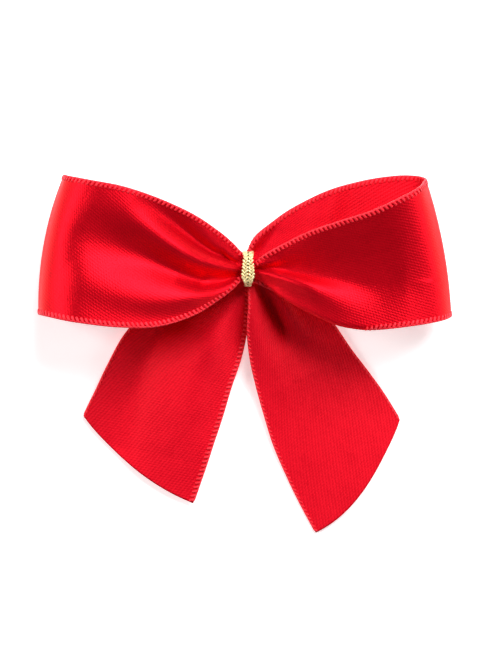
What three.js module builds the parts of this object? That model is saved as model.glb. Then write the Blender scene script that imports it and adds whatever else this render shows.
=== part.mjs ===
// A pre-made gift bow: two ribbon loops and two ribbon tails, gathered and bound by a knitted gold tie,
// with a self-adhesive foam pad and its peel-off liner on the back.
//
// Millimetres, +Z up. The bow lies on its back on a flat surface: +Z comes out of its front, +X points to the
// right loop and +Y to the top edges of the loops. The origin is on the underside of the liner, below the tie.

import * as THREE from "three";

// ---- Driving dimensions -------------------------------------------------------------------------------------

const RIBBON_THICKNESS = 0.4;

// The gathered middle: three layers of pleated ribbon, one above the other, held by the tie.
const FLEX_GAP = 0.3; // between the gathered middle and the loops and tails that bend away from it
const GATHER_HALF_LENGTH = 1.8; // along X
const GATHER_END = GATHER_HALF_LENGTH + FLEX_GAP;
const FRONT_LAYER_Z = 7.8;
const BACK_LAYER_Z = 6.1;
const TAIL_LAYER_Z = 4.7;
const GATHER_HALF_WIDTHS = { front: 2.0, back: 2.2, tail: 1.9 }; // along Y, in the tie
const PLEAT_DEPTH = 0.5; // of the wave, from its middle to its crest
const PLEAT_COUNT = 2; // full waves across the ribbon

// The tie: a flat band round the gathered middle, knotted at the back.
const TIE_WIDTH = 2.1; // along X
const TIE_THICKNESS = 0.55;
const TIE_HALF_SIZE = { y: 3.1, z: 3.15 }; // outside
const TIE_CORNER_RADIUS = 1.7;
const TIE_CENTRE_Z = 6.25;
const KNOT_RADII = { x: 1.6, y: 1.4, z: 0.72 };
const KNOT_CENTRE_Z = 2.1;
const CUT_END_RADIUS = 0.42;
const CUT_END_LENGTH = 2.0;
const CUT_END_SPLAY = 55; // degrees from +Y

// The sticking pad and its liner.
const LINER = { length: 13, width: 5.6, thickness: 0.15, corner: 1.2, tab: 2.4 };
const PAD = { length: 12, width: 5, thickness: 1.0, corner: 0.9, lift: 0.2 };

// Where each tail can be bent up, counted in rungs from the tie.
const TAIL_BEND_RUNG = 4.5;
const TAIL_BEND_HALF_GAP = 0.04;

// How far the pleats reach into a loop and a tail, counted in rungs from the tie.
const LOOP_PLEATED_RUNGS = 2.5;
const TAIL_PLEATED_RUNGS = 3;

// How finely each ribbon piece is divided along its length and across it.
const LOOP_GRID = { rows: 38, columns: 10 };
const TAIL_GATHER_GRID = { rows: 12, columns: 10 };
const TAIL_END_GRID = { rows: 8, columns: 8 };
const GATHER_GRID = { rows: 2, columns: 12 };

// ---- Rungs --------------------------------------------------------------------------------------------------
// A ribbon is described by rungs laid across it, from one edge to the other: rung(edgeA, edgeB, crown). The crown
// is how far the middle of the rung stands out of the straight line between the two edges.

const rung = (edgeA, edgeB, crown = 0) => ({
  edgeA: new THREE.Vector3(...edgeA),
  edgeB: new THREE.Vector3(...edgeB),
  crown,
});

// Loops run out along the front, round the fold and back behind. Edge A is the lower edge, edge B the upper one.
const LEFT_LOOP_RUNGS = [
  rung([-GATHER_END, -2.6, FRONT_LAYER_Z], [-GATHER_END, 2.7, FRONT_LAYER_Z]),
  rung([-5.4, -5.6, 10.0], [-5.2, 6.5, 10.6]),
  rung([-9.8, -8.3, 11.6], [-9.6, 9.4, 12.6]),
  rung([-16.0, -10.2, 12.8], [-15.5, 12.1, 14.3]),
  rung([-23.0, -10.3, 13.8], [-21.8, 14.2, 14.9], 0.4),
  rung([-30.4, -9.4, 14.0], [-27.6, 15.4, 14.0], 0.7),
  rung([-35.3, -8.4, 11.6], [-31.4, 16.2, 11.4], 1.0),
  rung([-36.9, -8.1, 7.8], [-32.5, 16.6, 7.6], 1.2),
  rung([-36.9, -8.0, 4.6], [-32.5, 16.7, 4.8], 1.3),
  rung([-34.8, -8.2, 2.7], [-30.7, 16.3, 3.3], 1.0),
  rung([-30.0, -8.7, 2.3], [-27.0, 15.2, 2.8], 0.4),
  rung([-23.0, -9.2, 2.5], [-21.0, 13.0, 2.9], 0.1),
  rung([-15.5, -8.5, 3.0], [-14.5, 10.0, 3.3]),
  rung([-9.0, -6.2, 4.0], [-8.5, 6.4, 4.2]),
  rung([-4.8, -4.0, 5.3], [-4.6, 4.0, 5.3]),
  rung([-GATHER_END, -2.6, BACK_LAYER_Z], [-GATHER_END, 2.6, BACK_LAYER_Z]),
];

const RIGHT_LOOP_RUNGS = [
  rung([GATHER_END, -2.4, FRONT_LAYER_Z], [GATHER_END, 2.4, FRONT_LAYER_Z]),
  rung([5.9, -4.5, 9.2], [6.0, 4.0, 11.2]),
  rung([10.4, -7.1, 10.1], [10.6, 6.0, 13.4]),
  rung([16.4, -9.7, 10.9], [16.2, 8.2, 15.2]),
  rung([23.0, -10.4, 11.7], [21.6, 9.9, 16.0]),
  rung([28.9, -10.1, 12.1], [26.2, 12.0, 15.8], 0.3),
  rung([34.0, -9.2, 10.8], [29.8, 14.0, 13.6], 0.6),
  rung([35.8, -8.6, 7.9], [31.2, 15.4, 9.8], 0.8),
  rung([36.0, -8.3, 4.9], [31.5, 16.1, 6.1], 0.8),
  rung([34.2, -8.0, 3.1], [30.0, 16.6, 4.0], 0.6),
  rung([30.0, -7.7, 2.8], [26.4, 16.4, 3.3], 0.3),
  rung([23.0, -7.7, 2.9], [20.5, 15.6, 3.3], 0.1),
  rung([15.5, -7.4, 3.3], [14.0, 13.7, 3.6]),
  rung([9.0, -6.0, 4.1], [8.0, 10.8, 4.5]),
  rung([4.8, -4.0, 5.2], [3.9, 7.2, 5.4]),
  rung([GATHER_END, -2.6, BACK_LAYER_Z], [GATHER_END, 2.8, BACK_LAYER_Z]),
];

// Tails run from the tie to their cut ends. Edge A is the inner edge, beside the other tail, and edge B the outer.
// The last rungs lie past the slanted cut on the outer side.
const LEFT_TAIL_RUNGS = [
  rung([-GATHER_END, -2.5, TAIL_LAYER_Z], [-GATHER_END, 2.2, TAIL_LAYER_Z]),
  rung([-1.5, -6.0, 3.5], [-6.0, 0.9, 3.4]),
  rung([-1.0, -11.0, 2.3], [-11.5, -2.6, 2.2]),
  rung([-1.5, -16.0, 1.8], [-17.2, -6.9, 1.3], 0.1),
  rung([-2.9, -21.0, 1.7], [-21.9, -11.6, 0.8], 0.2),
  rung([-4.5, -26.4, 1.7], [-25.0, -17.0, 0.5], 0.3),
  rung([-5.9, -30.6, 1.7], [-27.3, -21.8, 0.4], 0.3),
  rung([-7.4, -34.9, 1.6], [-29.3, -26.1, 0.4], 0.3),
  rung([-8.7, -38.7, 1.3], [-30.7, -29.8, 0.4], 0.3),
  rung([-10.1, -42.7, 1.0], [-32.2, -33.8, 0.5], 0.3),
];

const RIGHT_TAIL_RUNGS = [
  rung([GATHER_END, -2.5, TAIL_LAYER_Z], [GATHER_END, 2.2, TAIL_LAYER_Z]),
  rung([1.3, -6.0, 3.7], [5.6, 0.6, 3.4]),
  rung([0.5, -10.6, 2.8], [10.0, -3.4, 2.2]),
  rung([0.4, -15.4, 2.3], [14.2, -8.6, 1.4], 0.1),
  rung([1.3, -20.4, 1.9], [18.0, -13.7, 1.0], 0.2),
  rung([2.9, -25.6, 1.4], [21.4, -18.1, 0.8], 0.3),
  rung([4.6, -31.4, 0.9], [24.4, -22.3, 0.9], 0.4),
  rung([7.2, -37.6, 0.5], [27.3, -27.1, 1.1], 0.5),
  rung([9.6, -42.3, 0.4], [29.4, -31.0, 1.2], 0.5),
  rung([12.3, -47.5, 0.4], [31.7, -35.6, 1.2], 0.5),
];

// A cut end, in rungs from the tie at the inner edge and at the outer edge, and how far its middle bulges.
const LEFT_CUT = { inner: 8.75, outer: 7.0, bulge: 0.47 };
const RIGHT_CUT = { inner: 8.97, outer: 7.03, bulge: 0.55 };

// ---- Ribbon surfaces ----------------------------------------------------------------------------------------

const smoothFade = (x) => THREE.MathUtils.smoothstep(x, 0, 1);

// Pleats across the ribbon at v, from -1 at edge A to 1 at edge B.
const pleatHeight = (v) => PLEAT_DEPTH * Math.cos(Math.PI * PLEAT_COUNT * v);

// A smooth surface through the rungs. at(k, v) is the point k rungs along and v across. side is -1 for a ribbon on
// the left of the tie and 1 on the right, and pleatedRungs is how far the pleats reach from a gathered end.
class RibbonSurface {
  constructor(rungs, { side, pleatedRungs, bothEndsGathered }) {
    this.last = rungs.length - 1;
    this.side = side;
    this.pleatedRungs = pleatedRungs;
    this.bothEndsGathered = bothEndsGathered;
    this.edgeA = new THREE.CatmullRomCurve3(rungs.map((r) => r.edgeA), false, "catmullrom");
    this.edgeB = new THREE.CatmullRomCurve3(rungs.map((r) => r.edgeB), false, "catmullrom");
    const crowns = rungs.map((r) => new THREE.Vector3(r.crown, 0, 0));
    this.crown = new THREE.CatmullRomCurve3(crowns, false, "catmullrom");
  }

  // How strongly the ribbon is pleated k rungs along: 1 at a gathered end, 0 where it lies open.
  pleated(k) {
    const fromEnd = this.bothEndsGathered ? Math.min(k, this.last - k) : k;
    return 1 - smoothFade(fromEnd / this.pleatedRungs);
  }

  at(k, v) {
    const t = k / this.last;
    const a = this.edgeA.getPoint(t);
    const b = this.edgeB.getPoint(t);
    const across = b.clone().sub(a);
    const along = this.edgeA.getTangent(t).add(this.edgeB.getTangent(t));
    const out = along.cross(across).normalize().multiplyScalar(this.side);
    const point = a.lerp(b, (v + 1) / 2);
    point.addScaledVector(out, this.crown.getPoint(t).x * (1 - v * v));
    point.z += this.pleated(k) * pleatHeight(v);
    return point;
  }

  normal(k, v) {
    const step = 1e-3;
    const alongK = this.at(Math.min(k + step, this.last), v).sub(this.at(Math.max(k - step, 0), v));
    const acrossV = this.at(k, Math.min(v + step, 1)).sub(this.at(k, Math.max(v - step, -1)));
    return alongK.cross(acrossV).normalize().multiplyScalar(this.side);
  }
}

// A closed shell between two grids of points, front and back, each (rows + 1) x (columns + 1).
function shellBetween(front, back, rows, columns) {
  const index = [];
  const corner = (layer, i, j) => layer * front.length + i * (columns + 1) + j;
  const quad = (a, b, c, d) => index.push(a, b, c, a, c, d);
  for (let i = 0; i < rows; i++)
    for (let j = 0; j < columns; j++) {
      quad(corner(0, i, j), corner(0, i + 1, j), corner(0, i + 1, j + 1), corner(0, i, j + 1));
      quad(corner(1, i, j), corner(1, i, j + 1), corner(1, i + 1, j + 1), corner(1, i + 1, j));
    }
  for (let i = 0; i < rows; i++) {
    quad(corner(0, i, 0), corner(1, i, 0), corner(1, i + 1, 0), corner(0, i + 1, 0));
    quad(corner(0, i + 1, columns), corner(1, i + 1, columns), corner(1, i, columns), corner(0, i, columns));
  }
  for (let j = 0; j < columns; j++) {
    quad(corner(0, 0, j + 1), corner(1, 0, j + 1), corner(1, 0, j), corner(0, 0, j));
    quad(corner(0, rows, j), corner(1, rows, j), corner(1, rows, j + 1), corner(0, rows, j + 1));
  }
  const geometry = new THREE.BufferGeometry().setFromPoints([...front, ...back]);
  return geometry.setIndex(index);
}

// The ribbon between two lines across it, as a solid of the ribbon's thickness. from and to give k at each v.
function ribbonSolid(surface, { from, to, rows, columns }) {
  const front = [];
  const back = [];
  for (let i = 0; i <= rows; i++)
    for (let j = 0; j <= columns; j++) {
      const v = (2 * j) / columns - 1;
      const k = THREE.MathUtils.lerp(from(v), to(v), i / rows);
      const point = surface.at(k, v);
      const half = surface.normal(k, v).multiplyScalar(RIBBON_THICKNESS / 2);
      front.push(point.clone().add(half));
      back.push(point.clone().sub(half));
    }
  // On the right of the tie the grid runs the other way round, so its two faces change places.
  const faces = surface.side > 0 ? [front, back] : [back, front];
  return shellBetween(...faces, rows, columns);
}

// ---- Pieces -------------------------------------------------------------------------------------------------

const satin = new THREE.MeshStandardMaterial({ color: 0xc8102a, roughness: 0.42, metalness: 0 });
const gold = new THREE.MeshStandardMaterial({ color: 0xd9bf72, roughness: 0.4, metalness: 0.7 });
const foam = new THREE.MeshStandardMaterial({ color: 0xf2f0ea, roughness: 0.9, metalness: 0 });
const paper = new THREE.MeshStandardMaterial({ color: 0xf4eed8, roughness: 0.6, metalness: 0 });

function piece(name, geometry, material) {
  const mesh = new THREE.Mesh(geometry, material);
  mesh.name = name;
  return mesh;
}

function loop(name, rungs, side) {
  const surface = new RibbonSurface(rungs, { side, pleatedRungs: LOOP_PLEATED_RUNGS, bothEndsGathered: true });
  const shape = { from: () => 0, to: () => surface.last, ...LOOP_GRID };
  return piece(name, ribbonSolid(surface, shape), satin);
}

// A tail is two pieces: the gathered stretch that fans out of the tie, and the free end that can be bent up.
function tail(name, rungs, cut, side) {
  const surface = new RibbonSurface(rungs, { side, pleatedRungs: TAIL_PLEATED_RUNGS, bothEndsGathered: false });
  const cutAt = (v) => THREE.MathUtils.lerp(cut.inner, cut.outer, (v + 1) / 2) + cut.bulge * (1 - v * v);
  const gathered = { from: () => 0, to: () => TAIL_BEND_RUNG - TAIL_BEND_HALF_GAP, ...TAIL_GATHER_GRID };
  const free = { from: () => TAIL_BEND_RUNG + TAIL_BEND_HALF_GAP, to: cutAt, ...TAIL_END_GRID };
  return [
    piece(`${name}_gather`, ribbonSolid(surface, gathered), satin),
    piece(`${name}_end`, ribbonSolid(surface, free), satin),
  ];
}

// One pleated layer of ribbon where it passes through the tie.
function gatheredLayer(name, z, halfWidth) {
  const ends = [GATHER_HALF_LENGTH, -GATHER_HALF_LENGTH].map((x) => rung([x, -halfWidth, z], [x, halfWidth, z]));
  const surface = new RibbonSurface(ends, { side: -1, pleatedRungs: Infinity, bothEndsGathered: false });
  const shape = { from: () => 0, to: () => surface.last, ...GATHER_GRID };
  return piece(name, ribbonSolid(surface, shape), satin);
}

function roundedRectangle(halfWidth, halfHeight, radius, Path = THREE.Shape) {
  const path = new Path();
  path.absarc(halfWidth - radius, halfHeight - radius, radius, 0, Math.PI / 2);
  path.absarc(radius - halfWidth, halfHeight - radius, radius, Math.PI / 2, Math.PI);
  path.absarc(radius - halfWidth, radius - halfHeight, radius, Math.PI, 1.5 * Math.PI);
  path.absarc(halfWidth - radius, radius - halfHeight, radius, 1.5 * Math.PI, 2 * Math.PI);
  path.closePath();
  return path;
}

function tieBand() {
  const outline = roundedRectangle(TIE_HALF_SIZE.y, TIE_HALF_SIZE.z, TIE_CORNER_RADIUS);
  const inside = [TIE_HALF_SIZE.y - TIE_THICKNESS, TIE_HALF_SIZE.z - TIE_THICKNESS];
  outline.holes.push(roundedRectangle(...inside, TIE_CORNER_RADIUS - TIE_THICKNESS, THREE.Path));
  const geometry = new THREE.ExtrudeGeometry(outline, { depth: TIE_WIDTH, bevelEnabled: false, curveSegments: 6 });
  geometry.translate(0, 0, -TIE_WIDTH / 2);
  // The outline is drawn in the band's own X and Y, which become the bow's Y and Z.
  geometry.rotateZ(Math.PI / 2).rotateY(Math.PI / 2);
  const band = piece("tie_band", geometry, gold);
  band.position.z = TIE_CENTRE_Z;
  return band;
}

function tieKnot() {
  const knot = piece("tie_knot", new THREE.SphereGeometry(1, 14, 10), gold);
  knot.scale.set(KNOT_RADII.x, KNOT_RADII.y, KNOT_RADII.z);
  knot.position.z = KNOT_CENTRE_Z;
  return knot;
}

// One of the two short ends left where the tie is cut behind its knot.
function tieCutEnd(name, side) {
  const end = piece(name, new THREE.CylinderGeometry(CUT_END_RADIUS, CUT_END_RADIUS, CUT_END_LENGTH, 10), gold);
  const splay = THREE.MathUtils.degToRad(CUT_END_SPLAY);
  const fromKnot = KNOT_RADII.x + FLEX_GAP + CUT_END_LENGTH / 2;
  end.position.set(side * fromKnot * Math.sin(splay), fromKnot * Math.cos(splay), KNOT_CENTRE_Z);
  end.rotation.z = -side * splay;
  return end;
}

function flatPiece(name, outline, thickness, z, material) {
  const geometry = new THREE.ExtrudeGeometry(outline, { depth: thickness, bevelEnabled: false, curveSegments: 5 });
  const flat = piece(name, geometry, material);
  flat.position.z = z;
  return flat;
}

function adhesivePad() {
  const outline = roundedRectangle(PAD.length / 2, PAD.width / 2, PAD.corner);
  return flatPiece("adhesive_pad", outline, PAD.thickness, PAD.lift, foam);
}

// The liner is a little larger than the pad, and its left end reaches out as a tab to peel it by.
function releaseLiner() {
  const outline = roundedRectangle((LINER.length + LINER.tab) / 2, LINER.width / 2, LINER.corner);
  const liner = flatPiece("release_liner", outline, LINER.thickness, 0, paper);
  liner.position.x = -LINER.tab / 2;
  return liner;
}

// ---- The bow ------------------------------------------------------------------------------------------------

const bow = new THREE.Group();
bow.add(
  gatheredLayer("gather_front_layer", FRONT_LAYER_Z, GATHER_HALF_WIDTHS.front),
  gatheredLayer("gather_back_layer", BACK_LAYER_Z, GATHER_HALF_WIDTHS.back),
  gatheredLayer("gather_tail_layer", TAIL_LAYER_Z, GATHER_HALF_WIDTHS.tail),
  loop("left_loop", LEFT_LOOP_RUNGS, -1),
  loop("right_loop", RIGHT_LOOP_RUNGS, 1),
  ...tail("left_tail", LEFT_TAIL_RUNGS, LEFT_CUT, -1),
  ...tail("right_tail", RIGHT_TAIL_RUNGS, RIGHT_CUT, 1),
  tieBand(),
  tieKnot(),
  tieCutEnd("tie_cut_end_left", -1),
  tieCutEnd("tie_cut_end_right", 1),
  adhesivePad(),
  releaseLiner(),
);

export default bow;
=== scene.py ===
"""A pre-made gift bow of red satin ribbon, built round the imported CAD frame.

Places are in millimetres in the bow's own frame, and become metres when a mesh is made: +X to the
right loop, +Y to the loops' upper edges, +Z out of the bow's front. Along a ribbon, k counts its
rungs; across it, v runs from -1 at edge A to 1 at edge B.
"""
import math

import bpy
import numpy as np
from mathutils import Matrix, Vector, noise


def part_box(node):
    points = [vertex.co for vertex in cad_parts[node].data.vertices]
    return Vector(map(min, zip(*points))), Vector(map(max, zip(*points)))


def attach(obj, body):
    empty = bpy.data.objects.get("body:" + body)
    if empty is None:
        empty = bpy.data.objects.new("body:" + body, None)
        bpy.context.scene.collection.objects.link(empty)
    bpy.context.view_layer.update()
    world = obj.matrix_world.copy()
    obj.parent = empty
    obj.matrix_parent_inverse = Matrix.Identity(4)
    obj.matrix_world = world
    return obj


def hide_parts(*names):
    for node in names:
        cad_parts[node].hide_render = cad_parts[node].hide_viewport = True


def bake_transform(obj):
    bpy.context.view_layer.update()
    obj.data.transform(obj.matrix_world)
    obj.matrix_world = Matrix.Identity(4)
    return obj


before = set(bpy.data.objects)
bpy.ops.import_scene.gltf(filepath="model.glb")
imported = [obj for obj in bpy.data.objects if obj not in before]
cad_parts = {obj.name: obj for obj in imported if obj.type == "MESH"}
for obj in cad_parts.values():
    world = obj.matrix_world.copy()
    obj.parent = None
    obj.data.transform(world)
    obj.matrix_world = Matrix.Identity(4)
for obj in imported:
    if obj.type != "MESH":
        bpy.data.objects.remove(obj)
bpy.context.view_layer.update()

# ---- Sizes ---------------------------------------------------------------------------------------

MM = 0.001
RIBBON_WIDTH = 25.0
RIBBON_THICKNESS = 0.28
CELL = 0.4  # of the ribbon's mesh
CURL_RADIUS = 0.55  # of an edge that curls under
RUN_PROBES = 400  # along a ribbon, to measure its length
FOLD_STATIONS = 160  # along a fold's line, to find the nearest
LAYER_BLEND = 1.2  # rungs over which a fold fades at the end of its layer

STITCH_PITCH = 0.82
STITCH_REACH = 0.85  # from the ribbon's edge inwards
STITCH_SHORT_REACH = 0.4  # where the edge is sewn tight
STITCH_LEAN = 0.5  # along the ribbon, from one end of a stitch to the other
STITCH_RADIUS = 0.23
STITCH_FLATNESS = 0.4
STITCH_RISE = 0.03  # above the ribbon's face
FIRST_STITCH = 0.3  # from the ribbon's end
EDGE_CORD_RADIUS = 0.19
EDGE_CORD_INSET = 0.05
MOST_TUCK = 0.8  # an edge that is tucked further under shows no stitches

TIE_COURSE = 0.62  # from one row of knit to the next
YARN_RADIUS = 0.21
OLIVE_RADIUS = 0.2
KNIT_UNEVENNESS = 0.15
KNOT_YARNS = 6
KNOT_YARN_RADIUS = 0.15
KNOT_CORD_RADIUS = 0.28  # from a twisted cord's middle to its yarns' middles

PHOTO_WIDTH, PHOTO_HEIGHT = 500, 667
VIEW_WIDTH = 89.3  # of the picture, at the bow's middle height
VIEW_CENTRE = (0.36, -11.5, 5.0)
CAMERA_DISTANCE = 600.0
SENSOR = 36.0


# ---- Small maths ---------------------------------------------------------------------------------

def spline(points, t):
    """Catmull-Rom through points at t, which counts them from 0."""
    points = np.asarray(points, float)
    last = len(points) - 1
    padded = np.vstack([2 * points[0] - points[1], points, 2 * points[-1] - points[-2]])
    t = np.clip(t, 0, last)
    i = np.minimum(t.astype(int), last - 1)
    f = (t - i)[..., None]
    p0, p1, p2, p3 = (padded[i + n] for n in range(4))
    bend = 2 * p0 - 5 * p1 + 4 * p2 - p3
    return 0.5 * (2 * p1 + (p2 - p0) * f + bend * f**2 + (3 * p1 - p0 - 3 * p2 + p3) * f**3)


def smooth(x):
    x = np.clip(x, 0, 1)
    return x * x * (3 - 2 * x)


def unit(vectors):
    return vectors / np.maximum(np.linalg.norm(vectors, axis=-1, keepdims=True), 1e-9)


def running_length(points):
    """The distance along a line of points, at each of them."""
    return np.concatenate([[0], np.cumsum(np.linalg.norm(np.diff(points, axis=0), axis=1))])


# ---- Meshes --------------------------------------------------------------------------------------

TUBE_END_SHARE = 0.35  # of its radius


def add_object(name, vertices, faces, materials, slots=None):
    """A smooth mesh from points in millimetres and faces, with each face's material in slots."""
    mesh = bpy.data.meshes.new(name)
    mesh.from_pydata((np.asarray(vertices) * MM).tolist(), [], faces)
    for material in materials:
        mesh.materials.append(material)
    if slots is not None:
        mesh.polygons.foreach_set("material_index", slots)
    mesh.polygons.foreach_set("use_smooth", [True] * len(mesh.polygons))
    mesh.update()
    obj = bpy.data.objects.new(name, mesh)
    bpy.context.scene.collection.objects.link(obj)
    return obj


def grid_quads(rows, columns, offset=0, flip=False):
    i, j = np.meshgrid(np.arange(rows), np.arange(columns), indexing="ij")
    corner = offset + i * (columns + 1) + j
    around = [corner, corner + columns + 1, corner + columns + 2, corner + 1]
    quads = np.stack(around, axis=-1).reshape(-1, 4)
    return quads[:, ::-1] if flip else quads


def tube(path, radius, sides=6, flatten=None):
    """Vertices, quads and caps of a tube along path, narrower at its ends.

    flatten = (direction, share) squeezes it to that share of its size in that direction.
    """
    path = np.asarray(path, float)
    count = len(path)
    heading = unit(np.gradient(path, axis=0))
    upright = abs(heading[:, 2]).mean() >= 0.9
    side = unit(np.cross(heading, np.array([1.0, 0, 0] if upright else [0, 0, 1.0])))
    up = np.cross(side, heading)
    radii = np.broadcast_to(np.asarray(radius, float), (count,)).copy()
    radii[[0, -1]] *= TUBE_END_SHARE
    angles = np.linspace(0, 2 * math.pi, sides, endpoint=False)[None, :, None]
    ring = np.cos(angles) * side[:, None] + np.sin(angles) * up[:, None]
    offsets = ring * radii[:, None, None]
    if flatten is not None:
        direction, share = np.asarray(flatten[0], float), flatten[1]
        offsets -= (1 - share) * (offsets @ direction)[..., None] * direction
    vertices = (path[:, None] + offsets).reshape(-1, 3)
    quads = []
    for i in range(count - 1):
        for j in range(sides):
            a, b = i * sides + j, i * sides + (j + 1) % sides
            quads.append((a, b, b + sides, a + sides))
    caps = [tuple(range(sides))[::-1], tuple(range((count - 1) * sides, count * sides))]
    return vertices, quads, caps


class Strands:
    """Many tubes gathered into one mesh."""

    def __init__(self):
        self.vertices = []
        self.faces = []
        self.slots = []
        self.count = 0

    def add(self, path, radius, sides=6, slot=0, flatten=None):
        vertices, quads, caps = tube(path, radius, sides, flatten)
        for face in quads + caps:
            self.faces.append(tuple(i + self.count for i in face))
            self.slots.append(slot)
        self.vertices.append(vertices)
        self.count += len(vertices)

    def build(self, name, materials):
        return add_object(name, np.concatenate(self.vertices), self.faces, materials, self.slots)


# ---- Ribbon surfaces -----------------------------------------------------------------------------

def rung(edge_a, edge_b, crown=0.0, tuck=0.0):
    """A line across the ribbon. crown lifts its middle, and tuck curls under at edge A."""
    return (*edge_a, *edge_b, crown, tuck)


def fold(points, heights, widths, layer="front", steep=1.0):
    """A crest or valley along points in plan. steep scales the width of its left side."""
    return dict(points=points, heights=heights, widths=widths, layer=layer, steep=steep)


def fold_height(shape, x, y):
    """How far a fold lifts the ribbon at each x, y."""
    stations = np.linspace(0, len(shape["points"]) - 1, FOLD_STATIONS)
    path = spline(shape["points"], stations)
    heights = spline(np.array(shape["heights"], float)[:, None], stations)[:, 0]
    widths = spline(np.array(shape["widths"], float)[:, None], stations)[:, 0]
    heading = unit(np.gradient(path, axis=0))
    dx = x[:, None] - path[:, 0]
    dy = y[:, None] - path[:, 1]
    nearest = np.argmin(dx**2 + dy**2, axis=1)
    row = np.arange(len(x))
    near_x, near_y = dx[row, nearest], dy[row, nearest]
    left = heading[nearest, 0] * near_y - heading[nearest, 1] * near_x > 0
    width = widths[nearest] * np.where(left, shape["steep"], 1.0)
    return heights[nearest] * np.exp(-(near_x**2 + near_y**2) / width**2)


class Ribbon:
    """A stretch of ribbon: points[along, across], and in flat their places in the flat strip."""

    def __init__(self, rungs, side, folds=(), fold_rung=None, cut=None):
        self.rungs = np.array(rungs)
        self.side = side
        last = len(rungs) - 1
        probe = np.linspace(0, last, RUN_PROBES)
        controls = spline(self.rungs, probe)
        middle = (controls[:, 0:3] + controls[:, 3:6]) / 2
        run = running_length(middle)
        self.length = run[-1]
        rows, columns = int(self.length / CELL), int(RIBBON_WIDTH / CELL)
        even = np.interp(np.linspace(0, self.length, rows + 1), run, probe)
        k, v = np.meshgrid(even, np.linspace(-1, 1, columns + 1), indexing="ij")
        if cut:
            share = (v + 1) / 2
            straight = cut["inner"] * (1 - share) + cut["outer"] * share
            k = k / last * (straight + cut["bulge"] * 4 * share * (1 - share))
        self.flat = np.stack([np.interp(k, probe, run), v * RIBBON_WIDTH / 2], axis=-1)
        self.points = self._lay(k, v, folds, fold_rung)
        self.tucked = spline(self.rungs, k[:, 0])[:, 7]
        self.normals = self._normals()

    def _lay(self, k, v, folds, fold_rung):
        control = spline(self.rungs, k)
        edge_a, edge_b = control[..., 0:3], control[..., 3:6]
        crown, tuck = control[..., 6:7], np.maximum(control[..., 7:8], 0)
        across = unit(edge_b - edge_a)
        width = np.linalg.norm(edge_b - edge_a, axis=-1, keepdims=True)
        step = 1e-3
        ahead, behind = spline(self.rungs, k + step), spline(self.rungs, k - step)
        along = unit(ahead[..., 0:3] + ahead[..., 3:6] - behind[..., 0:3] - behind[..., 3:6])
        out = unit(np.cross(along, across)) * self.side
        # Counting from edge A, tuck millimetres of the ribbon curl under and the rest reaches edge B.
        from_a = (v[..., None] + 1) / 2 * (width + tuck)
        open_part = np.maximum(from_a - tuck, 0)
        share = open_part / width
        points = edge_a + across * open_part + out * crown * 4 * share * (1 - share)
        x, y = points[..., 0].ravel(), points[..., 1].ravel()
        for shape in folds:
            lift = fold_height(shape, x, y).reshape(k.shape)
            if fold_rung:
                on_front = smooth((fold_rung - k) / LAYER_BLEND + 0.5)
                lift = lift * (on_front if shape["layer"] == "front" else 1 - on_front)
            points[..., 2] += lift
        curl = np.maximum(tuck - from_a, 0)
        turn = np.minimum(curl / CURL_RADIUS, math.pi)
        straight = np.maximum(curl - math.pi * CURL_RADIUS, 0)
        sideways = CURL_RADIUS * np.sin(turn) - straight
        return points - across * sideways - out * CURL_RADIUS * (1 - np.cos(turn))

    def _normals(self):
        along = np.gradient(self.points, axis=0)
        across = np.gradient(self.points, axis=1)
        return unit(np.cross(along, across)) * self.side

    def flat_area(self):
        """In square metres, of the flat strip with its slanted end."""
        return float(self.flat[-1, :, 0].mean()) * RIBBON_WIDTH * MM * MM

    def edge(self, column, pitch, start=0.0):
        """Frames along an edge, one each pitch.

        Returns the points, the ways along, inwards and out of the face, and the tucks.
        """
        line, normals = self.points[:, column], self.normals[:, column]
        inwards = self.points[:, 1 if column == 0 else -2] - line
        run = running_length(line)
        stations = np.arange(start, run[-1] - 0.2 * pitch, pitch)

        def sample(values):
            return np.stack([np.interp(stations, run, values[:, c]) for c in range(3)], axis=-1)

        along = unit(sample(np.gradient(line, axis=0)))
        normal = unit(sample(normals))
        inward = sample(inwards)
        inward = unit(inward - normal * (inward * normal).sum(1, keepdims=True))
        return sample(line), along, inward, normal, np.interp(stations, run, self.tucked)


def ribbon_sheet(name, ribbon, face_material, reverse_material):
    """The ribbon as a closed thin sheet, with face_material on the side of its normals."""
    rows, columns = ribbon.points.shape[0] - 1, ribbon.points.shape[1] - 1
    half = ribbon.normals * RIBBON_THICKNESS / 2
    face = (ribbon.points + half).reshape(-1, 3)
    reverse = (ribbon.points - half).reshape(-1, 3)
    flip = ribbon.side < 0
    border = np.concatenate([
        np.arange(columns),
        columns + (columns + 1) * np.arange(rows),
        rows * (columns + 1) + columns - np.arange(columns),
        (columns + 1) * (rows - np.arange(rows)),
    ])
    following = np.roll(border, -1)
    rim = np.stack([border, following, following + len(face), border + len(face)], axis=-1)
    rim = rim[:, ::-1] if flip else rim
    face_quads = grid_quads(rows, columns, 0, flip)
    reverse_quads = grid_quads(rows, columns, len(face), not flip)
    faces = np.concatenate([face_quads, reverse_quads, rim]).tolist()
    slots = [0] * len(face_quads) + [1] * len(reverse_quads) + [0] * len(rim)
    materials = [face_material, reverse_material]
    obj = add_object(name, np.concatenate([face, reverse]), faces, materials, slots)
    flat = np.concatenate([ribbon.flat.reshape(-1, 2) * (ribbon.side, 1)] * 2)
    corners = np.zeros(len(obj.data.loops), np.int32)
    obj.data.loops.foreach_get("vertex_index", corners)
    obj.data.uv_layers.new(name="flat_mm").data.foreach_set("uv", flat[corners].ravel())
    return obj


# A stitch as (along, inwards, out of the surface), in shares of its lean, its reach and its
# height: a slanting bar that rises over the edge.
STITCH = [(0.0, -0.06, 0.2), (0.12, 0.1, 0.9), (0.5, 0.5, 1.25), (0.88, 0.88, 0.9), (1.0, 1.0, 0.3)]


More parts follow.
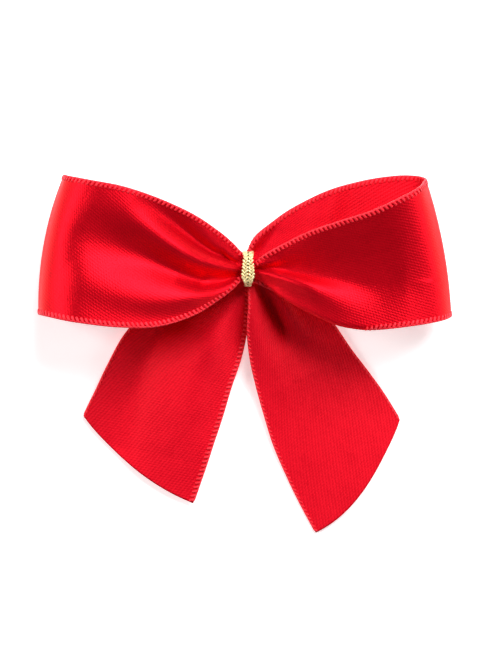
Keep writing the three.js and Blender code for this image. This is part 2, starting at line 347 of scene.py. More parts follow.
def edge_stitches(name, ribbon, reaches, material):
    """The looped stitches along both edges, on both sides, and the cord that they hold."""
    strands = Strands()
    height = RIBBON_THICKNESS / 2 + STITCH_RISE
    for column, reach in zip((0, -1), reaches):
        radius = STITCH_RADIUS * math.sqrt(reach / STITCH_REACH)
        *frames, tucked = ribbon.edge(column, STITCH_PITCH, FIRST_STITCH)
        if column == 0:
            frames = [values[tucked < MOST_TUCK] for values in frames]
        for outward in (1, -1):
            local = np.array(STITCH) * (STITCH_LEAN, reach, height * outward)
            for point, along, inward, normal in zip(*frames):
                path = point + local[:, :1] * along + local[:, 1:2] * inward + local[:, 2:] * normal
                fine = spline(path, np.linspace(0, len(path) - 1, 7))
                strands.add(fine, radius, 7, flatten=(normal, STITCH_FLATNESS))
        points, _, inward, _, _ = ribbon.edge(column, CELL)
        strands.add(points + inward * EDGE_CORD_INSET, EDGE_CORD_RADIUS, 8)
    return strands.build(name, [material])


# ---- Where the ribbon runs -----------------------------------------------------------------------

# Each loop's rungs go from the tie along its front layer, round its end and back along its back
# layer. Each tail's go from the tie to past its cut, which starts at the rungs in inner and outer.

LEFT_LOOP_RUNGS = [
    rung((0.3, -1.9, 7.6), (0.3, 2.0, 7.6)),
    rung((-1.25, -2.1, 7.9), (-1.25, 2.9, 8.1)),
    rung((-2.9, -3.7, 8.8), (-2.8, 4.5, 9.2)),
    rung((-5.4, -5.6, 10.0), (-5.2, 6.5, 10.6)),
    rung((-9.8, -8.3, 12.4), (-9.6, 9.4, 12.8), -0.3),
    rung((-16.0, -10.2, 14.4), (-15.5, 12.1, 14.6), -0.7),
    rung((-23.0, -10.3, 15.9), (-21.8, 14.2, 15.5), -0.8),
    rung((-30.6, -9.4, 16.0), (-27.8, 15.4, 15.0), -0.2),
    rung((-35.5, -8.4, 13.0), (-31.5, 16.2, 12.3), 0.7),
    rung((-36.9, -8.1, 8.5), (-32.5, 16.6, 8.1), 1.2),
    rung((-37.1, -8.0, 4.6), (-32.6, 16.7, 4.8), 1.3),
    rung((-34.8, -8.2, 2.6), (-30.7, 16.3, 3.2), 1.0),
    rung((-30.0, -8.7, 2.2), (-27.0, 15.2, 2.7), 0.4),
    rung((-23.0, -9.2, 2.4), (-21.0, 13.0, 2.8), 0.1),
    rung((-15.5, -8.5, 3.0), (-14.5, 10.0, 3.3)),
    rung((-9.0, -6.2, 4.0), (-8.5, 6.4, 4.2)),
    rung((-4.8, -4.0, 5.3), (-4.6, 4.0, 5.3)),
    rung((-2.1, -2.3, 6.0), (-2.1, 2.4, 6.0)),
    rung((0.0, -1.9, 6.2), (0.0, 2.0, 6.2)),
]
LEFT_LOOP_FOLD_RUNG = 9.0
LEFT_LOOP_FOLDS = [
    # the long crest that runs down from the upper edge to the tie
    fold([(-28, 13.4), (-22.4, 10.6), (-17.2, 6.9), (-13.6, 4.2), (-8.2, 1.3), (-3.6, 0), (0, -0.1)],
         [0.1, 0.7, 1.3, 1.5, 1.5, 0.9, 0.3], [4.4, 3.6, 2.8, 2.3, 1.6, 0.9, 0.6]),
    # the valley between that crest and the upper edge, and a small crease at its lower end
    fold([(-20, 12.6), (-16.4, 10.2), (-12.2, 7.2), (-8.8, 4.5), (-5.6, 2.6), (-2, 1.0)],
         [0, -0.8, -1.5, -1.6, -1.2, -0.6], [2.2, 2.0, 1.7, 1.3, 0.8, 0.4]),
    fold([(-5.5, 3.9), (-4.2, 2.4), (-3.0, 1.1)], [0, -0.6, -0.2], [0.5, 0.4, 0.35]),
    # the broad valley under the crest
    fold([(-33, 3.6), (-27, 3.8), (-22, 2.9), (-17.5, 1.5), (-13.5, -0.3), (-8.6, -2.3)],
         [-0.3, -1.1, -1.5, -1.7, -1.7, -1.0], [4.8, 4.8, 4.0, 3.0, 2.2, 1.3]),
    # the deep crease beside the tie
    fold([(-12.5, -1.2), (-10.0, -1.9), (-6.5, -2.4), (-3.4, -1.8), (-1.4, -1.2), (0, -1.0)],
         [0, -0.7, -1.5, -1.5, -1.1, -0.5], [2.2, 2.0, 1.4, 0.8, 0.5, 0.4], steep=2.0),
    # the crest of the lower half
    fold([(-31, 1.5), (-27.5, -1.6), (-22, -4.2), (-15, -5.4), (-8.6, -4.8), (-4.1, -3.75),
          (-1.1, -1.7)],
         [0.1, 0.5, 0.9, 1.2, 1.3, 1.0, 0.4], [3.6, 3.4, 3.0, 2.3, 1.5, 0.9, 0.5], steep=1.3),
]

RIGHT_LOOP_RUNGS = [
    rung((-0.3, -1.0, 7.6), (-0.3, 1.0, 7.6), 0, 2.6),
    rung((1.3, -1.2, 7.7), (1.3, 1.2, 8.3), 0, 3.0),
    rung((3.3, -2.5, 8.2), (3.1, 2.5, 9.8), 0, 3.2),
    rung((5.9, -4.5, 9.8), (6.2, 4.2, 10.4), 0, 3.2),
    rung((10.4, -7.1, 11.4), (10.8, 6.4, 12.6), -0.3, 2.8),
    rung((16.4, -9.7, 12.8), (16.2, 8.2, 15.0), -0.9, 1.6),
    rung((23.0, -10.4, 13.4), (21.6, 9.9, 16.6), -1.2, 0.4),
    rung((28.9, -10.1, 13.2), (26.2, 12.0, 16.8), -0.8, 0),
    rung((34.0, -9.2, 11.4), (29.9, 14.0, 15.0), 0.2, 0),
    rung((35.8, -8.6, 8.0), (31.2, 15.4, 10.0), 0.8, 0),
    rung((36.0, -8.3, 4.9), (31.5, 16.1, 6.1), 0.8, 0),
    rung((34.2, -8.0, 3.1), (30.0, 16.6, 4.0), 0.6, 0),
    rung((30.0, -7.7, 2.6), (26.4, 16.6, 4.4), 0.3, 0),
    rung((23.0, -7.7, 2.7), (20.6, 15.7, 5.2), 0.1, 0),
    rung((15.5, -7.4, 3.7), (14.2, 13.8, 6.2)),
    rung((9.0, -6.0, 4.9), (8.0, 10.8, 6.6)),
    rung((4.8, -4.0, 5.7), (4.0, 8.0, 6.7)),
    rung((2.3, -2.8, 6.1), (1.3, 5.7, 6.6)),
    rung((0.2, -2.0, 6.2), (-0.1, 3.0, 6.6)),
]
RIGHT_LOOP_FOLD_RUNG = 9.0
RIGHT_LOOP_FOLDS = [
    # the deep valley between the two halves of the loop
    fold([(1.0, 0.1), (4.0, -0.1), (8, -0.5), (14, -1.4), (21, -2.4), (28, -2.2)],
         [-0.3, -1.1, -1.9, -1.9, -1.3, -0.4], [0.4, 0.7, 1.2, 2.2, 3.6, 4.5], steep=3.0),
    # the small bright crest that starts at the tie above the valley
    fold([(0.4, 0.6), (2.4, 0.9), (4.4, 1.2), (6.6, 1.8)], [0.2, 0.7, 0.5, 0], [0.4, 0.5, 0.7, 1.0]),
    # the crest of the lower half, sharp on its upper side
    fold([(0.6, -0.4), (2.6, -0.7), (5.2, -1.0), (10.4, -2.6), (14.4, -3.8), (21, -5.2), (27, -5.0)],
         [0.2, 0.7, 1.2, 1.5, 0.9, 0.1, 0], [0.6, 0.8, 1.3, 2.0, 3.0, 4.0, 4.5], steep=0.5),
    # the pleat of the back layer beside the tie, and the bend across its middle
    fold([(0, 2.0), (1.6, 3.4), (3.4, 5.6), (5.6, 7.6)],
         [-0.8, -1.2, -0.8, 0], [0.5, 0.6, 0.7, 1.0], layer="back"),
    fold([(0, 2.8), (1.0, 4.6), (2.9, 6.9)], [0.7, 0.9, 0.3], [0.5, 0.7, 0.9], layer="back"),
    fold([(12.2, 2), (13.2, 7), (14.6, 12.5), (15.4, 16)],
         [1.5, 1.8, 1.8, 1.5], [2.8, 2.8, 2.6, 2.6], layer="back", steep=1.4),
]

LEFT_TAIL_RUNGS = [
    rung((0.0, -1.9, 4.6), (0.0, 1.6, 4.6)),
    rung((-0.12, -3.4, 4.3), (-2.6, 1.7, 4.4)),
    rung((-0.1, -6.5, 3.3), (-6.5, 0.4, 3.3)),
    rung((-0.25, -11.0, 2.3), (-11.8, -2.6, 2.1)),
    rung((-1.3, -16.0, 1.8), (-17.3, -6.6, 1.3), 0.1),
    rung((-3.0, -21.0, 1.7), (-22.0, -11.5, 1.7), 0.2),
    rung((-4.6, -26.4, 1.7), (-25.1, -17.0, 1.7), 0.3),
    rung((-6.0, -30.6, 1.7), (-27.3, -21.6, 1.3), 0.3),
    rung((-7.4, -34.9, 1.6), (-29.5, -26.1, 0.8), 0.3),
    rung((-8.7, -38.7, 1.3), (-31.1, -29.8, 0.4), 0.3),
    rung((-10.1, -42.7, 1.0), (-32.7, -33.8, 0.5), 0.3),
]
LEFT_CUT = dict(inner=9.83, outer=8.05, bulge=0.44)
LEFT_TAIL_FOLDS = [
    # the hollow along the outer half, and the broad crest that starts at the tie
    fold([(-9, -4), (-14, -9), (-17.8, -15), (-20.4, -23), (-21.8, -31)],
         [-0.8, -1.6, -1.5, -1.2, -0.6], [1.8, 2.3, 2.6, 2.8, 3.0]),
    fold([(0, -2.2), (-2.9, -7), (-6.4, -13), (-9.4, -20), (-13, -34)],
         [0.2, 2.0, 3.4, 2.0, 0.4], [1.0, 2.3, 3.7, 5.0, 5.0]),
]

RIGHT_TAIL_RUNGS = [
    rung((0.0, -2.0, 4.6), (0.0, 1.6, 4.6)),
    rung((0.12, -3.4, 4.9), (2.5, 1.6, 4.4)),
    rung((0.15, -6.6, 5.0), (6.0, 0.4, 3.4)),
    rung((-0.1, -11.0, 4.3), (10.2, -3.4, 2.2)),
    rung((0.4, -16.0, 3.1), (14.7, -8.8, 1.4), 0.1),
    rung((1.5, -21.0, 2.2), (18.4, -14.2, 1.0), 0.2),
    rung((3.0, -26.4, 1.4), (21.6, -18.4, 0.8), 0.3),
    rung((4.7, -31.8, 0.9), (24.4, -22.3, 0.9), 0.4),
    rung((7.2, -37.6, 0.5), (27.3, -27.0, 1.1), 0.5),
    rung((9.6, -42.5, 0.4), (29.6, -31.0, 1.2), 0.5),
    rung((12.3, -47.5, 0.4), (31.9, -35.6, 1.2), 0.5),
]
RIGHT_CUT = dict(inner=9.97, outer=8.0, bulge=0.58)
RIGHT_TAIL_FOLDS = [
    # the ridge along the inner edge
    fold([(0.3, -2.5), (0.5, -5.5), (0.9, -9.1), (2.2, -13.6), (5, -20)],
         [0.2, 1.0, 1.2, 0.9, 0.2], [0.8, 1.6, 2.2, 2.8, 3.4]),
    # the deep valley beside it, and a second pleat
    fold([(1.4, -2.0), (3.6, -6.0), (5.7, -10.0), (8.0, -14.0), (10.4, -19)],
         [-0.4, -2.2, -2.4, -1.0, 0], [0.6, 1.1, 1.5, 2.4, 3.4]),
    fold([(3.2, -2.6), (6.4, -6.5), (9.2, -11)], [0.3, 1.1, 0.4], [0.6, 1.1, 1.8]),
]


# ---- Materials -----------------------------------------------------------------------------------

RIBBON_SHEEN = (1.0, 0.17, 0.19, 1)
RIB_WAVER = 2.6
WEFT = (80, 0.45)  # its angle and the distance between its threads
WEFT_SHARE = 0.5  # of the weave's relief, against 1 for the twill lines
THREAD_CELL = (2.5, 0.16)  # along and across the ribbon
THREAD_SHARE = 0.9
BLOTCH_CELL = (6.0, 3.0)
FOAM_ROUGHNESS = 0.85
PIT_SHADE = 0.75  # painted shade: the share of the foam's colour deep in its cells


def new_material(name, color, roughness, metallic=0.0):
    material = bpy.data.materials.new(name)
    material.use_nodes = True
    shader = material.node_tree.nodes["Principled BSDF"]
    shader.inputs["Base Color"].default_value = (*color, 1)
    shader.inputs["Roughness"].default_value = roughness
    shader.inputs["Metallic"].default_value = metallic
    return material, material.node_tree.nodes, material.node_tree.links, shader


def math_node(nodes, links, operation, *values):
    node = nodes.new("ShaderNodeMath")
    node.operation = operation
    for socket, value in zip(node.inputs, values):
        if isinstance(value, (int, float)):
            socket.default_value = value
        else:
            links.new(value, socket)
    return node.outputs[0]


def color_ramp(nodes, links, value, stops):
    """Colours between two stops, each (position, colour), by a value from 0 to 1."""
    ramp = nodes.new("ShaderNodeValToRGB")
    for element, (position, color) in zip(ramp.color_ramp.elements, stops):
        element.position = position
        element.color = (*color, 1)
    links.new(value, ramp.inputs["Fac"])
    return ramp.outputs["Color"]


def add_bump(nodes, links, shader, height, relief):
    """Raises the shader's surface by height times relief millimetres."""
    bump = nodes.new("ShaderNodeBump")
    bump.inputs["Strength"].default_value = 1.0
    bump.inputs["Distance"].default_value = relief * MM
    links.new(height, bump.inputs["Height"])
    links.new(bump.outputs[0], shader.inputs["Normal"])


def ribs(nodes, links, uv, angle, period):
    """0 to 1 over ribs period millimetres apart, at angle degrees to the ribbon's length."""
    turned = nodes.new("ShaderNodeMapping")
    turned.inputs["Rotation"].default_value[2] = math.radians(angle)
    links.new(uv, turned.inputs["Vector"])
    wave = nodes.new("ShaderNodeTexWave")
    wave.bands_direction = "Y"
    wave.inputs["Scale"].default_value = math.pi / 10 / period
    wave.inputs["Distortion"].default_value = RIB_WAVER
    wave.inputs["Detail"].default_value = 1.0
    wave.inputs["Detail Scale"].default_value = 6.0
    links.new(turned.outputs[0], wave.inputs["Vector"])
    return wave.outputs["Fac"]


def streaks(nodes, links, uv, along, across):
    """Noise drawn out along the ribbon, with cells along by across millimetres."""
    stretched = nodes.new("ShaderNodeMapping")
    stretched.inputs["Scale"].default_value = (1 / along, 1 / across, 1)
    links.new(uv, stretched.inputs["Vector"])
    speckle = nodes.new("ShaderNodeTexNoise")
    speckle.inputs["Scale"].default_value = 1.0
    speckle.inputs["Detail"].default_value = 3.0
    links.new(stretched.outputs[0], speckle.inputs["Vector"])
    return speckle.outputs["Fac"]


def ribbon_material(name, light, dark, roughness, anisotropy, metallic, specular, twill, relief):
    """A red weave. twill is the angle of its lines in degrees and their distance in millimetres."""
    material, nodes, links, shader = new_material(name, light, roughness, metallic)
    shader.inputs["Anisotropic"].default_value = anisotropy
    shader.inputs["Anisotropic Rotation"].default_value = 0.25
    shader.inputs["Specular Tint"].default_value = RIBBON_SHEEN
    shader.inputs["Specular IOR Level"].default_value = specular
    tangent = nodes.new("ShaderNodeTangent")
    tangent.direction_type = "UV_MAP"
    tangent.uv_map = "flat_mm"
    links.new(tangent.outputs[0], shader.inputs["Tangent"])
    uv = nodes.new("ShaderNodeUVMap")
    uv.uv_map = "flat_mm"
    lines = ribs(nodes, links, uv.outputs[0], *twill)
    weft = ribs(nodes, links, uv.outputs[0], *WEFT)
    threads = streaks(nodes, links, uv.outputs[0], *THREAD_CELL)
    height = math_node(nodes, links, "MULTIPLY_ADD", weft, WEFT_SHARE, lines)
    height = math_node(nodes, links, "MULTIPLY_ADD", threads, THREAD_SHARE, height)
    add_bump(nodes, links, shader, height, relief)
    blotches = streaks(nodes, links, uv.outputs[0], *BLOTCH_CELL)
    # The weave's low lines and threads are painted darker: painted shade in its valleys. The blotches
    # vary the tone at random.
    weave_painted_shade = math_node(nodes, links, "MULTIPLY", height, 0.3)
    shade = math_node(nodes, links, "MULTIPLY_ADD", blotches, 0.5, weave_painted_shade)
    color = color_ramp(nodes, links, shade, [(0.25, dark), (0.75, light)])
    links.new(color, shader.inputs["Base Color"])
    return material


def noisy_material(name, light, dark, roughness, grain, relief, metallic=0.0, sheen=(1, 1, 1)):
    """A material whose colour and relief vary over grain millimetres. sheen tints its highlights."""
    material, nodes, links, shader = new_material(name, light, roughness, metallic)
    shader.inputs["Specular Tint"].default_value = (*sheen, 1)
    place = nodes.new("ShaderNodeTexCoord")
    speckle = nodes.new("ShaderNodeTexNoise")
    speckle.inputs["Scale"].default_value = 1 / (grain * MM)
    speckle.inputs["Detail"].default_value = 4.0
    links.new(place.outputs["Object"], speckle.inputs["Vector"])
    color = color_ramp(nodes, links, speckle.outputs["Fac"], [(0.35, dark), (0.65, light)])
    links.new(color, shader.inputs["Base Color"])
    add_bump(nodes, links, shader, speckle.outputs["Fac"], relief)
    return material


def foam_material(name, color, cell, relief):
    """Soft foam with open cells about cell millimetres across."""
    material, nodes, links, shader = new_material(name, color, FOAM_ROUGHNESS)
    place = nodes.new("ShaderNodeTexCoord")
    cells = nodes.new("ShaderNodeTexVoronoi")
    cells.inputs["Scale"].default_value = 1 / (cell * MM)
    links.new(place.outputs["Object"], cells.inputs["Vector"])
    # Deep in each cell the colour is painted darker: painted shade in the pits.
    pit_painted_shade = [c * PIT_SHADE for c in color]
    shade = color_ramp(nodes, links, cells.outputs["Distance"], [(0.0, pit_painted_shade), (0.5, color)])
    links.new(shade, shader.inputs["Base Color"])
    add_bump(nodes, links, shader, cells.outputs["Distance"], relief)
    return material


def satin_face():
    return ribbon_material(
        "ribbon_satin_face", light=(0.73, 0.001, 0.011), dark=(0.53, 0.0, 0.007), roughness=0.44,
        anisotropy=0.5, metallic=0.68, specular=0.95, twill=(30, 0.5), relief=0.017)


def matte_reverse():
    return ribbon_material(
        "ribbon_matte_reverse", light=(0.8, 0.004, 0.018), dark=(0.58, 0.0, 0.009), roughness=0.55,
        anisotropy=0.3, metallic=0.15, specular=0.5, twill=(22, 0.6), relief=0.035)


def edge_thread():
    return noisy_material("edge_thread", light=(0.95, 0.03, 0.05), dark=(0.8, 0.012, 0.025),
                          roughness=0.5, grain=0.4, relief=0.02, sheen=(1, 0.4, 0.43))


def gold_yarn():
    return noisy_material("gold_yarn", light=(0.93, 0.82, 0.47), dark=(0.74, 0.58, 0.25),
                          roughness=0.36, grain=0.25, relief=0.03, metallic=0.4)


def olive_yarn():
    return noisy_material("olive_yarn", light=(0.13, 0.11, 0.012), dark=(0.06, 0.05, 0.006),
                          roughness=0.5, grain=0.25, relief=0.03)


def pad_foam():
    return foam_material("pad_foam", color=(0.93, 0.92, 0.88), cell=0.3, relief=0.06)


def liner_paper():
    return noisy_material("liner_paper", light=(0.93, 0.89, 0.78), dark=(0.88, 0.83, 0.71),
                          roughness=0.38, grain=0.9, relief=0.004)


# ---- The tie -------------------------------------------------------------------------------------

TIE_CENTRE_Z = 6.25
TIE_HALF_Y = 2.8
TIE_HALF_Z = 2.9
TIE_SQUARENESS = 0.55  # the power in the band's outline, which is 1 for an ellipse
TIE_PROBES = 2000  # round the band, to measure its length
TIE_GIRTH = 21.0  # roughly, to choose the number of courses
TIE_HALF_WIDTH = 0.95
TIE_SWELL = 0.12
TIE_WIDEST = -0.35  # as a share of TIE_HALF_Y
TIE_TAPER = 0.45  # at the lower end
TIE_TAPER_START = 0.6  # as a share of TIE_HALF_Y, downwards
WALES = ((-0.78, 1), (-0.27, -1), (0.27, 1), (0.78, -1))  # place across, and lean
KNIT_REACH = 0.72  # of a course, from a stitch's middle to its end
KNIT_SLANT = 0.2  # of the half width
KNIT_RISE = 0.12
KNIT_SEED = 1794924652  # without one, noise_vector starts from the clock and differs each run
OLIVE_RISE = 0.2
CORD_STEPS = 10  # for each point of a cord's path
FRAY_START = 0.55  # of the way along a frayed cord
KNOT_TWIST = 9
CUT_END_TWIST = 0.8
CUT_END_FRAY = 0.5


def tie_ring(count):
    """Points evenly round the tie's middle line, from the top of its front.

    Returns them with the ways along and out of the line, and the distance between them.
    """
    dense = np.linspace(0, 2 * math.pi, TIE_PROBES, endpoint=False)
    sine, cosine = np.sin(dense), np.cos(dense)
    y = TIE_HALF_Y * np.sign(sine) * np.abs(sine) ** TIE_SQUARENESS
    z = TIE_HALF_Z * np.sign(cosine) * np.abs(cosine) ** TIE_SQUARENESS
    ring = np.stack([np.zeros_like(y), y, z + TIE_CENTRE_Z], axis=-1)
    closed = np.vstack([ring, ring[:1]])
    run = running_length(closed)
    stations = np.linspace(0, run[-1], count, endpoint=False)
    points = np.stack([np.interp(stations, run, closed[:, c]) for c in range(3)], axis=-1)
    heading = unit(np.roll(points, -1, axis=0) - np.roll(points, 1, axis=0))
    outward = np.cross(heading, np.array([-1.0, 0, 0]))
    return points, heading, outward, run[-1] / count


def knit_row(strands, centre, heading, outward, sideways, half_width, course):
    """One course of flat knit: two leaning stitches on each side of an olive one, and two marks."""
    for place, lean in WALES:
        middle = centre + sideways * place * half_width
        middle = middle + np.array(noise.noise_vector(Vector(middle) * 1.9)) * KNIT_UNEVENNESS
        reach = heading * course * KNIT_REACH
        slant = sideways * lean * KNIT_SLANT * half_width
        rise = outward * KNIT_RISE
        path = [middle - reach + slant, middle - reach * 0.4 + slant * 0.7 + rise,
                middle + reach * 0.4 - slant * 0.5 + rise, middle + reach - slant]
        strands.add(spline(path, np.linspace(0, 3, 8)), YARN_RADIUS, 7)
    sway = KNIT_UNEVENNESS * noise.noise(Vector(centre) * 1.3) * 2
    dot = centre + outward * OLIVE_RISE + sideways * sway
    dash = heading * course * 0.3
    strands.add([dot - dash, dot, dot + dash], OLIVE_RADIUS, 6, 1)
    for side in (-1, 1):
        across = sideways * side
        mark = centre + across * half_width * 0.52 + heading * course * 0.5 + outward * 0.06
        dash = across * 0.14 + heading * 0.1
        strands.add([mark - dash, mark, mark + dash], OLIVE_RADIUS * 0.75, 6, 1)


def tie_band(gold, olive):
    strands = Strands()
    points, heading, outward, course = tie_ring(round(TIE_GIRTH / TIE_COURSE))
    sideways = np.array([1.0, 0, 0])
    noise.seed_set(KNIT_SEED)
    for centre, ahead, out in zip(points, heading, outward):
        # The band swells in its lower half and is drawn narrow at its lower end.
        y = centre[1] / TIE_HALF_Y
        half_width = TIE_HALF_WIDTH + TIE_SWELL * math.cos(math.pi * (y - TIE_WIDEST))
        half_width -= TIE_TAPER * smooth((-y - TIE_TAPER_START) / (1 - TIE_TAPER_START))
        knit_row(strands, centre, ahead, out, sideways, half_width, course)
    return strands.build("knitted_tie_band", [gold, olive])


def twisted_cord(strands, points, twist, fray=0.0):
    """Yarns twisted round a path, twist turns in all.

    At its far end they spread by fray times their distance from its middle.
    """
    path = spline(points, np.linspace(0, len(points) - 1, CORD_STEPS * len(points)))
    share = np.linspace(0, 1, len(path))
    heading = unit(np.gradient(path, axis=0))
    side = unit(np.cross(heading, np.array([0.05, 0.1, 1.0])))
    up = np.cross(side, heading)
    spread = 1 + fray * smooth((share - FRAY_START) / (1 - FRAY_START))
    reach = (KNOT_CORD_RADIUS * spread)[:, None]
    for i in range(KNOT_YARNS):
        angle = (2 * math.pi * (i / KNOT_YARNS + twist * share))[:, None]
        yarn = path + reach * (np.cos(angle) * side + np.sin(angle) * up)
        strands.add(yarn, KNOT_YARN_RADIUS, 7, 1 if i == 0 else 0)


def tie_knot(gold, olive):
    """An overhand knot pulled tight, in the room of its CAD solid."""
    lowest, highest = (np.array(corner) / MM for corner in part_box("tie_knot"))
    reach = (highest - lowest) / 2 - (KNOT_CORD_RADIUS + KNOT_YARN_RADIUS)
    turn = np.linspace(0, 2 * math.pi, 25)
    x = np.sin(turn) + 2 * np.sin(2 * turn)
    y = np.cos(turn) - 2 * np.cos(2 * turn)
    trefoil = np.stack([x, y, -np.sin(3 * turn)], axis=-1) / (3, 3, 1)
    strands = Strands()
    twisted_cord(strands, (lowest + highest) / 2 + trefoil * reach, KNOT_TWIST)
    return strands.build("knitted_tie_knot", [gold, olive])


def cut_end(side, gold, olive):
    """A cut end of the tie, from the knot's corner outwards, with its yarns fraying apart."""
    word = "right" if side > 0 else "left"
    lowest, highest = (np.array(corner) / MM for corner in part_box(f"tie_cut_end_{word}"))
    near_x, far_x = (lowest[0], highest[0]) if side > 0 else (highest[0], lowest[0])
    middle_z = (lowest[2] + highest[2]) / 2
    near = np.array([near_x, lowest[1], middle_z])
    far = np.array([far_x, highest[1], middle_z])
    points = [near * (1 - share) + far * share for share in (-0.1, 0.3, 0.65, 0.95)]
    strands = Strands()
    twisted_cord(strands, points, CUT_END_TWIST, fray=CUT_END_FRAY)
    return strands.build(f"knitted_cut_end_{word}", [gold, olive])


# ---- The pad and its liner -----------------------------------------------------------------------

PAD_CORNER = 0.9
PAD_BEVEL = 0.12
LINER_CORNER = 1.2
LINER_BEVEL = 0.03
SLAB_CENTRE = 0.04  # the innermost ring of a slab's face, as a share of its outline
SLAB_RINGS = 16
FOAM_BULGE = 0.1
FOAM_UNEVENNESS = 0.06
CURL_START = 0.3  # past the pad's end
LINER_CURL = 0.07  # the lift one millimetre past that, which grows with the distance squared


def rounded_outline(half_x, half_y, corner, steps=7, edge_steps=14):
    """A rectangle with round corners, counter-clockwise, divided finely enough to be bent."""
    quarter = np.linspace(0, math.pi / 2, steps)
    arcs = []
    for i, (x, y) in enumerate(((1, 1), (-1, 1), (-1, -1), (1, -1))):
        angles = quarter + i * math.pi / 2
        centre = np.array([x * (half_x - corner), y * (half_y - corner)])
        arcs.append(centre + corner * np.stack([np.cos(angles), np.sin(angles)], axis=-1))
    outline = []
    for arc, following in zip(arcs, arcs[1:] + arcs[:1]):
        share = np.linspace(0, 1, edge_steps)[1:-1, None]
        outline += [arc, arc[-1] * (1 - share) + following[0] * share]
    return np.concatenate(outline)


def slab(name, node, corner, bevel, material, warp):
    """A flat piece in the room of a CAD node, with round corners and edges. warp moves its points."""
    lowest, highest = (np.array(end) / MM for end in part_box(node))
    middle, half = (lowest + highest) / 2, (highest - lowest) / 2
    bend = np.linspace(0, math.pi / 2, 4)
    curve_in = bevel * (1 - np.sin(bend))
    curve_up = bevel * (1 - np.cos(bend))
    insets = [*curve_in, *curve_in[::-1]]
    heights = [*(lowest[2] + curve_up), *(highest[2] - curve_up[::-1])]
    spread = np.linspace(SLAB_CENTRE, 1, SLAB_RINGS)[:-1]
    rings = [(share, bevel, lowest[2]) for share in spread]
    rings += [(1, inset, height) for inset, height in zip(insets, heights)]
    rings += [(share, bevel, highest[2]) for share in spread[::-1]]
    points = []
    for share, inset, height in rings:
        outline = rounded_outline(half[0] - inset, half[1] - inset, corner - inset) * share
        level = np.full(len(outline), height)
        points.append(np.column_stack([outline + middle[:2], level]))
    around = len(points[0])
    i, j = np.meshgrid(np.arange(len(rings) - 1), np.arange(around), indexing="ij")
    here, beside = i * around + j, i * around + (j + 1) % around
    corners = [here, beside, beside + around, here + around]
    quads = np.stack(corners, axis=-1).reshape(-1, 4).tolist()
    last_ring = range((len(rings) - 1) * around, len(rings) * around)
    caps = [list(range(around))[::-1], list(last_ring)]
    return add_object(name, warp(np.concatenate(points)), quads + caps, [material])


def foam_swell(points):
    """The foam's sides bulge a little, and are uneven from its cut cells."""
    middle = points.mean(axis=0)
    level = (points[:, 2] - middle[2]) / np.abs(points[:, 2] - middle[2]).max()
    outwards = unit((points - middle) * (1, 1, 0))
    uneven = np.array([noise.noise(Vector(point) * 2.5) for point in points])
    swell = FOAM_BULGE * (1 - level**2) + FOAM_UNEVENNESS * uneven * (1 - level**4)
    return points + outwards * swell[:, None]


def liner_curl(points):
    """The tab at the liner's left end lifts off the surface a little, past the end of the pad."""
    pad_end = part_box("adhesive_pad")[0][0] / MM
    past = np.maximum(pad_end - CURL_START - points[:, 0], 0)
    return points + np.stack([0 * past, 0 * past, LINER_CURL * past**2], axis=-1)


# ---- Camera, light and floor ---------------------------------------------------------------------

FLOOR_REACH = 3000.0
FLOOR_GLOW = 0.47
WORLD_GLOW = 0.09
SOFTBOXES = (  # name, place, size and watts
    ("softbox_key", (360, 640, 700), (720, 620), 15.0),
    ("softbox_front", (-60, -880, 360), (900, 360), 0.6),
    ("softbox_right", (900, 0, 300), (350, 700), 2.8),
    ("softbox_left", (-740, 180, 440), (260, 460), 4.4),
)


def make_camera():
    data = bpy.data.cameras.new("camera")
    data.sensor_fit = "VERTICAL"
    data.sensor_height = SENSOR
    data.lens = SENSOR * CAMERA_DISTANCE / (VIEW_WIDTH * PHOTO_HEIGHT / PHOTO_WIDTH)
    camera = bpy.data.objects.new("camera", data)
    x, y, z = VIEW_CENTRE
    camera.location = (x * MM, y * MM, (z + CAMERA_DISTANCE) * MM)
    bpy.context.scene.collection.objects.link(camera)
    bpy.context.scene.camera = camera


def softbox(name, place, size, watts):
    data = bpy.data.lights.new(name, "AREA")
    data.shape = "RECTANGLE"
    data.size, data.size_y = (side * MM for side in size)
    data.energy = watts
    light = bpy.data.objects.new(name, data)
    light.location = [c * MM for c in place]
    light.rotation_euler = Vector([-c for c in place]).to_track_quat("-Z", "Y").to_euler()
    bpy.context.scene.collection.objects.link(light)


def make_stage():
    backdrop, _, _, shader = new_material("floor_white", (0.96, 0.96, 0.96), 0.8)
    shader.inputs["Emission Color"].default_value = (1, 1, 1, 1)
    shader.inputs["Emission Strength"].default_value = FLOOR_GLOW
    sides = ((-1, -1), (1, -1), (1, 1), (-1, 1))
    corners = [(x * FLOOR_REACH, y * FLOOR_REACH, 0) for x, y in sides]
    add_object("floor", corners, [(0, 1, 2, 3)], [backdrop])
    world = bpy.data.worlds.new("studio")
    world.use_nodes = True
    background = world.node_tree.nodes["Background"]
    background.inputs["Color"].default_value = (1, 1, 1, 1)
    background.inputs["Strength"].default_value = WORLD_GLOW
    bpy.context.scene.world = world
    for box in SOFTBOXES:
        softbox(*box)
    bpy.context.scene.view_settings.view_transform = "Standard"


# ---- The bow -------------------------------------------------------------------------------------

satin = satin_face()
matte = matte_reverse()
thread = edge_thread()
gold = gold_yarn()
olive = olive_yarn()
foam = pad_foam()
paper = liner_paper()

make_camera()
make_stage()

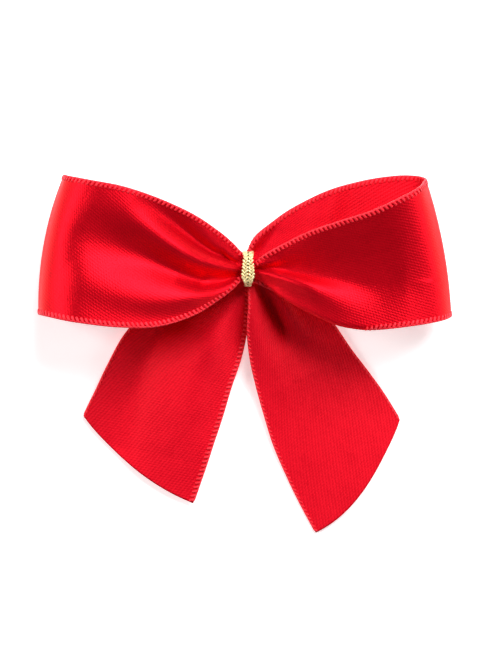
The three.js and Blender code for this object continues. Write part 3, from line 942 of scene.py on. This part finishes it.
BOTH_FULL = (STITCH_REACH, STITCH_REACH)
RIBBONS = (
    ("left_loop", Ribbon(LEFT_LOOP_RUNGS, -1, LEFT_LOOP_FOLDS, LEFT_LOOP_FOLD_RUNG),
     (satin, matte), BOTH_FULL, ("left_loop", "gather_front_layer")),
    ("right_loop", Ribbon(RIGHT_LOOP_RUNGS, 1, RIGHT_LOOP_FOLDS, RIGHT_LOOP_FOLD_RUNG),
     (satin, matte), BOTH_FULL, ("right_loop", "gather_back_layer")),
    ("left_tail", Ribbon(LEFT_TAIL_RUNGS, -1, LEFT_TAIL_FOLDS, cut=LEFT_CUT),
     (matte, satin), (STITCH_REACH, STITCH_SHORT_REACH),
     ("left_tail_gather", "left_tail_end", "gather_tail_layer")),
    ("right_tail", Ribbon(RIGHT_TAIL_RUNGS, 1, RIGHT_TAIL_FOLDS, cut=RIGHT_CUT),
     (matte, satin), (STITCH_SHORT_REACH, STITCH_SHORT_REACH),
     ("right_tail_gather", "right_tail_end")),
)


def blend_loop(piece):
    """Bakes the loop piece's placement into its mesh."""
    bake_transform(piece)


def blend_tail(piece):
    """Bakes the tail piece's placement into its mesh."""
    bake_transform(piece)


def finish_piece(piece, body, slot, *nodes):
    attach(piece, body)
    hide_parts(*nodes)


for name, ribbon, materials, reaches, replaced in RIBBONS:
    sheet = ribbon_sheet(f"{name}_ribbon", ribbon, *materials)
    stitches = edge_stitches(f"{name}_edging", ribbon, reaches, thread)
    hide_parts(*replaced)
    for piece in (sheet, stitches):
        if "loop" in name:
            blend_loop(piece)
        else:
            blend_tail(piece)
    ribbon.flat_area()

finish_piece(tie_band(gold, olive), "centre", "metallic_knit", "tie_band")
finish_piece(tie_knot(gold, olive), "centre", "metallic_knit", "tie_knot")
finish_piece(cut_end(-1, gold, olive), "centre", "metallic_knit", "tie_cut_end_left")
finish_piece(cut_end(1, gold, olive), "centre", "metallic_knit", "tie_cut_end_right")
pad = slab("foam_pad", "adhesive_pad", PAD_CORNER, PAD_BEVEL, foam, foam_swell)
finish_piece(pad, "centre", "pad_foam", "adhesive_pad")
liner = slab("liner_paper", "release_liner", LINER_CORNER, LINER_BEVEL, paper, liner_curl)
finish_piece(liner, "liner", "liner_paper", "release_liner")
